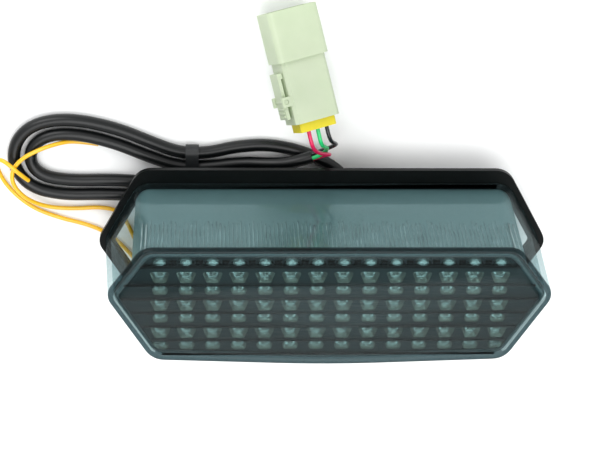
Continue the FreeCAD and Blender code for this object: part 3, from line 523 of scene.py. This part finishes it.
front_z = 67.3
bowl_points, bowl_faces = [], []
columns = [(i - 6.5) * 9.3 for i in range(14)]
pockets = []
for row in range(3):
    for x in columns:
        pockets.append((x, 6.2 + 2.5 - row * 11.0, 6.9, 4.7, 4.4, 0.8, 3.2))
        pockets.append((x, 6.2 - 2.75 - row * 11.0, 5.7, 5.3, 3.3, 1.3, 2.4))
for x, y, top, bottom, height, corner, depth in pockets:
    ring = add_ring(bowl_points, bowl_faces, pocket_outline(x, y, top, bottom, height, corner, front_z), None)
    for part, shrink in ((0.12, 0.25), (0.6, 0.7), (0.92, 1.1), (1.0, 1.6)):
        ring = add_ring(bowl_points, bowl_faces,
                        pocket_outline(x, y, top - shrink, bottom - shrink, height - shrink,
                                       max(corner - shrink / 3, 0.3), front_z - part * depth), ring)
    for part, rise in ((0.75, 0.0), (0.5, 0.55), (0.2, 0.75)):
        ring = add_ring(bowl_points, bowl_faces,
                        pocket_outline(x, y, 2.4 * part, 2.4 * part, 1.6 * part, 0.6 * part,
                                       front_z - depth + rise), ring)
    bowl_faces.append(tuple(range(ring, ring + 16)))
bowls = mesh_piece("metallised_pockets", bowl_points, bowl_faces, metallised)
for polygon in bowls.data.polygons:
    polygon.flip()
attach(bowls, "lamp")
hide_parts("reflector")

outline = lens_outline(front_z, 2.3)
shape = bmesh.new()
rings = [outline] + [pocket_outline(x, y, top, bottom, height, corner, front_z)
                     for x, y, top, bottom, height, corner, depth in pockets]
edges = []
for ring in rings:
    made = [shape.verts.new((x / 1000, y / 1000, z / 1000)) for x, y, z in ring]
    edges += [shape.edges.new((made[i], made[(i + 1) % len(made)])) for i in range(len(made))]
rim = edges[:len(outline)]
bmesh.ops.triangle_fill(shape, use_beauty=True, edges=edges, normal=(0, 0, 1))
lower = bmesh.ops.extrude_edge_only(shape, edges=rim)
bmesh.ops.translate(shape, verts=[v for v in lower["geom"] if isinstance(v, bmesh.types.BMVert)],
                    vec=(0, 0, -0.0016))
bmesh.ops.recalc_face_normals(shape, faces=shape.faces)
plate_mesh = bpy.data.meshes.new("reflector_front")
shape.to_mesh(plate_mesh)
shape.free()
plate_mesh.materials.append(front_painted_reflection)
plate = bpy.data.objects.new("reflector_front", plate_mesh)
bpy.context.scene.collection.objects.link(plate)
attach(plate, "lamp")
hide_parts("reflector")


def clipped(ring, half):
    """The part of a closed outline between two upright lines."""
    kept = []
    for a, b in zip(ring, ring[1:] + ring[:1]):
        if abs(a[0]) <= half:
            kept.append(a)
        if (abs(a[0]) - half) * (abs(b[0]) - half) < 0:
            side = math.copysign(half, a[0] if abs(a[0]) > half else b[0])
            share = (side - a[0]) / (b[0] - a[0])
            kept.append((side, a[1] + share * (b[1] - a[1]), a[2]))
    return kept


side_points, side_faces = [], []
ring = None
for z in (front_z - 0.05, 57.3):
    ring = add_ring(side_points, side_faces, clipped(lens_outline(z, 2.6), 70.4), ring)
skirt = mesh_piece("reflector_skirt", side_points, side_faces, slate_abs, smooth=False)
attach(skirt, "lamp")
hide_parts("reflector")

# ---- flutes ----
# Fine upright light-spreading flutes inside the upper wall of the lens, in its half nearer the
# face. They are a little uneven at their lower ends.

flute_painted_streaks = material_named("slate flutes with painted highlight streaks")
where = add(flute_painted_streaks, "ShaderNodeTexCoord")
wavy = add(flute_painted_streaks, "ShaderNodeTexNoise", Vector=(where, "Object"), Scale=160.0, Detail=3.0)
# Painted highlights: the noise runs the colour from dark slate to near white, standing in for the bright
# streaks of light in the flutes.
tone = add(flute_painted_streaks, "ShaderNodeMix", data_type="RGBA", Factor=(wavy, "Fac"), i6=linear("#2c3a3c"),
           i7=linear("#d4e2e2"))
polished = add(flute_painted_streaks, "ShaderNodeBsdfPrincipled", Base_Color=(tone, "Result"), Roughness=0.22)
add(flute_painted_streaks, "ShaderNodeOutputMaterial", Surface=(polished, "BSDF"))


def wall_y(z, inset):
    """How far up the lamp the upper wall stands at one height."""
    return 21.33 + 3.4 * (70.8 - z) / 50.0 - inset


flute_points, flute_faces = [], []
for i in range(92):
    x = -67.0 + i * 134.0 / 91
    low = 46.6 + 1.6 * math.sin(i * 2.3) + 0.9 * math.sin(i * 5.1)
    width = 0.30 + 0.1 * math.sin(i * 1.7)
    ring = None
    for z in (low, low + 2.0, 60.0, 66.2):
        high = 0.05 if z == low else 0.42
        profile = [(x - width, wall_y(z, 2.62), z), (x - width * 0.7, wall_y(z, 2.62 - high * 0.7), z),
                   (x, wall_y(z, 2.62 - high), z), (x + width * 0.7, wall_y(z, 2.62 - high * 0.7), z),
                   (x + width, wall_y(z, 2.62), z)]
        ring = add_ring(flute_points, flute_faces, profile, ring)
        if z == low:
            flute_faces.append(tuple(range(ring, ring + 5)))
    flute_faces.append(tuple(range(ring, ring + 5)))
flutes = mesh_piece("wall_flutes", flute_points, flute_faces, flute_painted_streaks)
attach(flutes, "lamp")
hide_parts("lens_cover")

# ---- scallops ----
# A row of 14 small metallised half-domes above the pockets. The black bar under them and the black blocks
# between them are painted shade for the dark step line and the dark gaps.

dome_points, dome_faces = [], []
for x in columns:
    ring = None
    for rise in (0.0, 0.35, 0.65, 0.85, 0.97):
        spread = math.sqrt(1 - rise ** 2)
        arc = [(x + 2.9 * spread * math.cos(t), 13.9 + 3.0 * spread * math.sin(t), front_z + 1.2 * rise)
               for t in [math.pi * (1 - k / 14) for k in range(15)]]
        arc.append((x, 13.8, front_z + 1.2 * rise))
        ring = add_ring(dome_points, dome_faces, arc, ring)
    dome_faces.append(tuple(range(ring, ring + 16)))
domes = mesh_piece("metallised_scallops", dome_points, dome_faces, metallised)
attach(domes, "lamp")
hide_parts("reflector")

# Painted shade: a black bar under the domes and black blocks in the gaps between them.
step_points, step_faces = [], []
for x0, x1, y0, y1 in [(-67.5, 67.5, 12.6, 13.9)] + [(x + 3.3, x + 6.0, 13.8, 15.6) for x in columns[:-1]]:
    ring = None
    for z, inset in ((front_z, 0.0), (front_z + 1.1, 0.05), (front_z + 1.4, 0.25)):
        ring = add_ring(step_points, step_faces,
                        [(x0 + inset, y0 + inset, z), (x0 + inset, y1 - inset, z),
                         (x1 - inset, y1 - inset, z),
                         (x1 - inset, y0 + inset, z)], ring)
    step_faces.append(tuple(range(ring, ring + 4)))
step = mesh_piece("painted_shade_step", step_points, step_faces, black_abs, smooth=False)
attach(step, "lamp")
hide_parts("reflector")

# ---- border frame ----
# A satin grey frame under the raised border of the lens, with a bright chamfer on its inner edge.

frame_grey = material_named("satin grey painted frame")
where = add(frame_grey, "ShaderNodeTexCoord")
grain = add(frame_grey, "ShaderNodeTexNoise", Vector=(where, "Object"), Scale=300.0, Detail=3.0)
tone = add(frame_grey, "ShaderNodeMix", data_type="RGBA", Factor=(grain, "Fac"), i6=linear("#7c8f91"),
           i7=linear("#95a7a9"))
satin = add(frame_grey, "ShaderNodeBsdfPrincipled", Base_Color=(tone, "Result"), Roughness=0.3, Metallic=0.3)
add(frame_grey, "ShaderNodeOutputMaterial", Surface=(satin, "BSDF"))
frame_points, frame_faces = [], []
ring = None
for z, inset in ((front_z + 0.02, 2.3), (front_z + 1.2, 2.35), (front_z + 1.3, (4.0, 3.9, 2.7, 2.6)),
                 (front_z + 0.9, (4.4, 4.6, 3.1, 3.0)), (front_z + 0.05, (4.5, 4.7, 3.2, 3.1))):
    ring = add_ring(frame_points, frame_faces, lens_outline(z, inset), ring)
border = mesh_piece("border_frame", frame_points, frame_faces, frame_grey)
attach(border, "lamp")
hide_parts("reflector")

# ---- lens ribs ----
# Six straight ribs moulded inside the face. Each bends the light, so it shows as a dark line with
# a thin bright one beside it. The dark line is painted shade: the ribs have a much darker tint than the face.

rib_painted_shade = smoked("smoked polycarbonate rib with painted shade", "#4d5d60", 0.8)
rib_points, rib_faces = [], []
for i in range(6):
    y = 6.2 - i * 5.5
    reach = (80.0 - (y - 3.13) * 0.72 if y > 3.13 else 80.0 + (y - 3.13) * 0.63) - 4.6
    section = [(y + 0.38 * math.cos(t),
                68.78 - 0.9 * math.sin(t)) for t in [math.pi * k / 8 for k in range(9)]]
    ring = add_ring(rib_points, rib_faces, [(-reach, a, b) for a, b in section], None)
    rib_faces.append(tuple(range(ring, ring + 9)))
    ring = add_ring(rib_points, rib_faces, [(reach, a, b) for a, b in section], ring)
    rib_faces.append(tuple(range(ring, ring + 9)))
ribs = mesh_piece("lens_ribs", rib_points, rib_faces, rib_painted_shade)
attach(ribs, "lamp")
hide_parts("lens_cover")

# ---- LEDs ----
# Water-clear epoxy domes.

epoxy = material_named("water-clear LED epoxy")
where = add(epoxy, "ShaderNodeTexCoord")
frost = add(epoxy, "ShaderNodeTexNoise", Vector=(where, "Object"), Scale=800.0, Detail=2.0)
rough = add(epoxy, "ShaderNodeMapRange", Value=(frost, "Fac"), To_Min=0.04, To_Max=0.12)
clear = add(epoxy, "ShaderNodeBsdfPrincipled", Base_Color=linear("#dfe6e4"), Roughness=(rough, "Result"),
            IOR=1.5, Transmission_Weight=0.35, Coat_Weight=0.5)
add(epoxy, "ShaderNodeOutputMaterial", Surface=(clear, "BSDF"))
for node in ("left_turn_leds", "stop_tail_leds", "right_turn_leds"):
    paint(node, epoxy)

# ---- board and its parts ----
# White solder mask over glass-epoxy, with black moulded resistors and chips and a sleeved
# capacitor under it.

solder_mask = material_named("white solder mask")
where = add(solder_mask, "ShaderNodeTexCoord")
weave = add(solder_mask, "ShaderNodeTexNoise", Vector=(where, "Object"), Scale=900.0, Detail=2.0)
bump = add(solder_mask, "ShaderNodeBump", Height=(weave, "Fac"), Strength=0.15, Distance=0.0001)
mask = add(solder_mask, "ShaderNodeBsdfPrincipled", Base_Color=linear("#dfe2dc"), Roughness=0.35,
           Normal=(bump, "Normal"))
add(solder_mask, "ShaderNodeOutputMaterial", Surface=(mask, "BSDF"))
paint("led_board", solder_mask)

moulded_epoxy = material_named("black moulded epoxy")
where = add(moulded_epoxy, "ShaderNodeTexCoord")
speck = add(moulded_epoxy, "ShaderNodeTexNoise", Vector=(where, "Object"), Scale=1500.0, Detail=2.0)
bump = add(moulded_epoxy, "ShaderNodeBump", Height=(speck, "Fac"), Strength=0.3, Distance=0.0001)
body = add(moulded_epoxy, "ShaderNodeBsdfPrincipled", Base_Color=linear("#1a1b1d"), Roughness=0.55,
           Normal=(bump, "Normal"))
add(moulded_epoxy, "ShaderNodeOutputMaterial", Surface=(body, "BSDF"))
paint("load_resistors", moulded_epoxy)
paint("driver_chips", moulded_epoxy)
paint("capacitor", metal("sleeved aluminium can", "#8a9096", 0.35))

# ---- inner leads ----
# Four thin PVC leads from the grommet up to the board.

paint("inner_stop_lead", core_insulation("red PVC lead", "#a80a3c", "#c8144c"))
paint("inner_tail_lead", core_insulation("green PVC lead", "#109050", "#1cb066"))
paint("inner_turn_lead", yellow_pvc)
paint("inner_ground_lead", core_insulation("black PVC lead", "#0c0e10", "#181a1e"))

# ---- light and floor ----
# A pale floor that fades into a white room, one broad soft light overhead and a weaker one from
# the upper side of the lamp.

world = bpy.data.worlds.new("white room")
world.use_nodes = True
world.node_tree.nodes["Background"].inputs["Color"].default_value = (1.0, 1.0, 1.0, 1.0)
world.node_tree.nodes["Background"].inputs["Strength"].default_value = 0.9
bpy.context.scene.world = world

floor_material = material_named("white paper sweep")
where = add(floor_material, "ShaderNodeTexCoord")
fibre = add(floor_material, "ShaderNodeTexNoise", Vector=(where, "Object"), Scale=200.0, Detail=2.0)
bump = add(floor_material, "ShaderNodeBump", Height=(fibre, "Fac"), Strength=0.03, Distance=0.0002)
paper = add(floor_material, "ShaderNodeBsdfPrincipled", Base_Color=(0.92, 0.93, 0.93, 1.0), Roughness=0.8,
            Normal=(bump, "Normal"))
add(floor_material, "ShaderNodeOutputMaterial", Surface=(paper, "BSDF"))
floor = mesh_piece("floor", [(-3000, -3000, -0.2), (3000, -3000, -0.2), (3000, 3000, -0.2),
                             (-3000, 3000, -0.2)],
                   [(0, 1, 2, 3)], floor_material)


def soft_light(name, place, aim, size, power):
    """A square area light at a place, turned to its aim, in metres and watts."""
    data = bpy.data.lights.new(name, "AREA")
    data.size = size
    data.energy = power
    light = bpy.data.objects.new(name, data)
    light.location = place
    light.rotation_euler = (Vector(aim) - Vector(place)).to_track_quat("-Z", "Y").to_euler()
    bpy.context.scene.collection.objects.link(light)


soft_light("overhead", (0.1, -0.1, 1.0), (0, 0, 0), 0.9, 9.0)
soft_light("upper side", (-0.5, 0.9, 0.6), (0, 0, 0.03), 0.6, 5.0)

bpy.context.scene.view_settings.view_transform = "Standard"
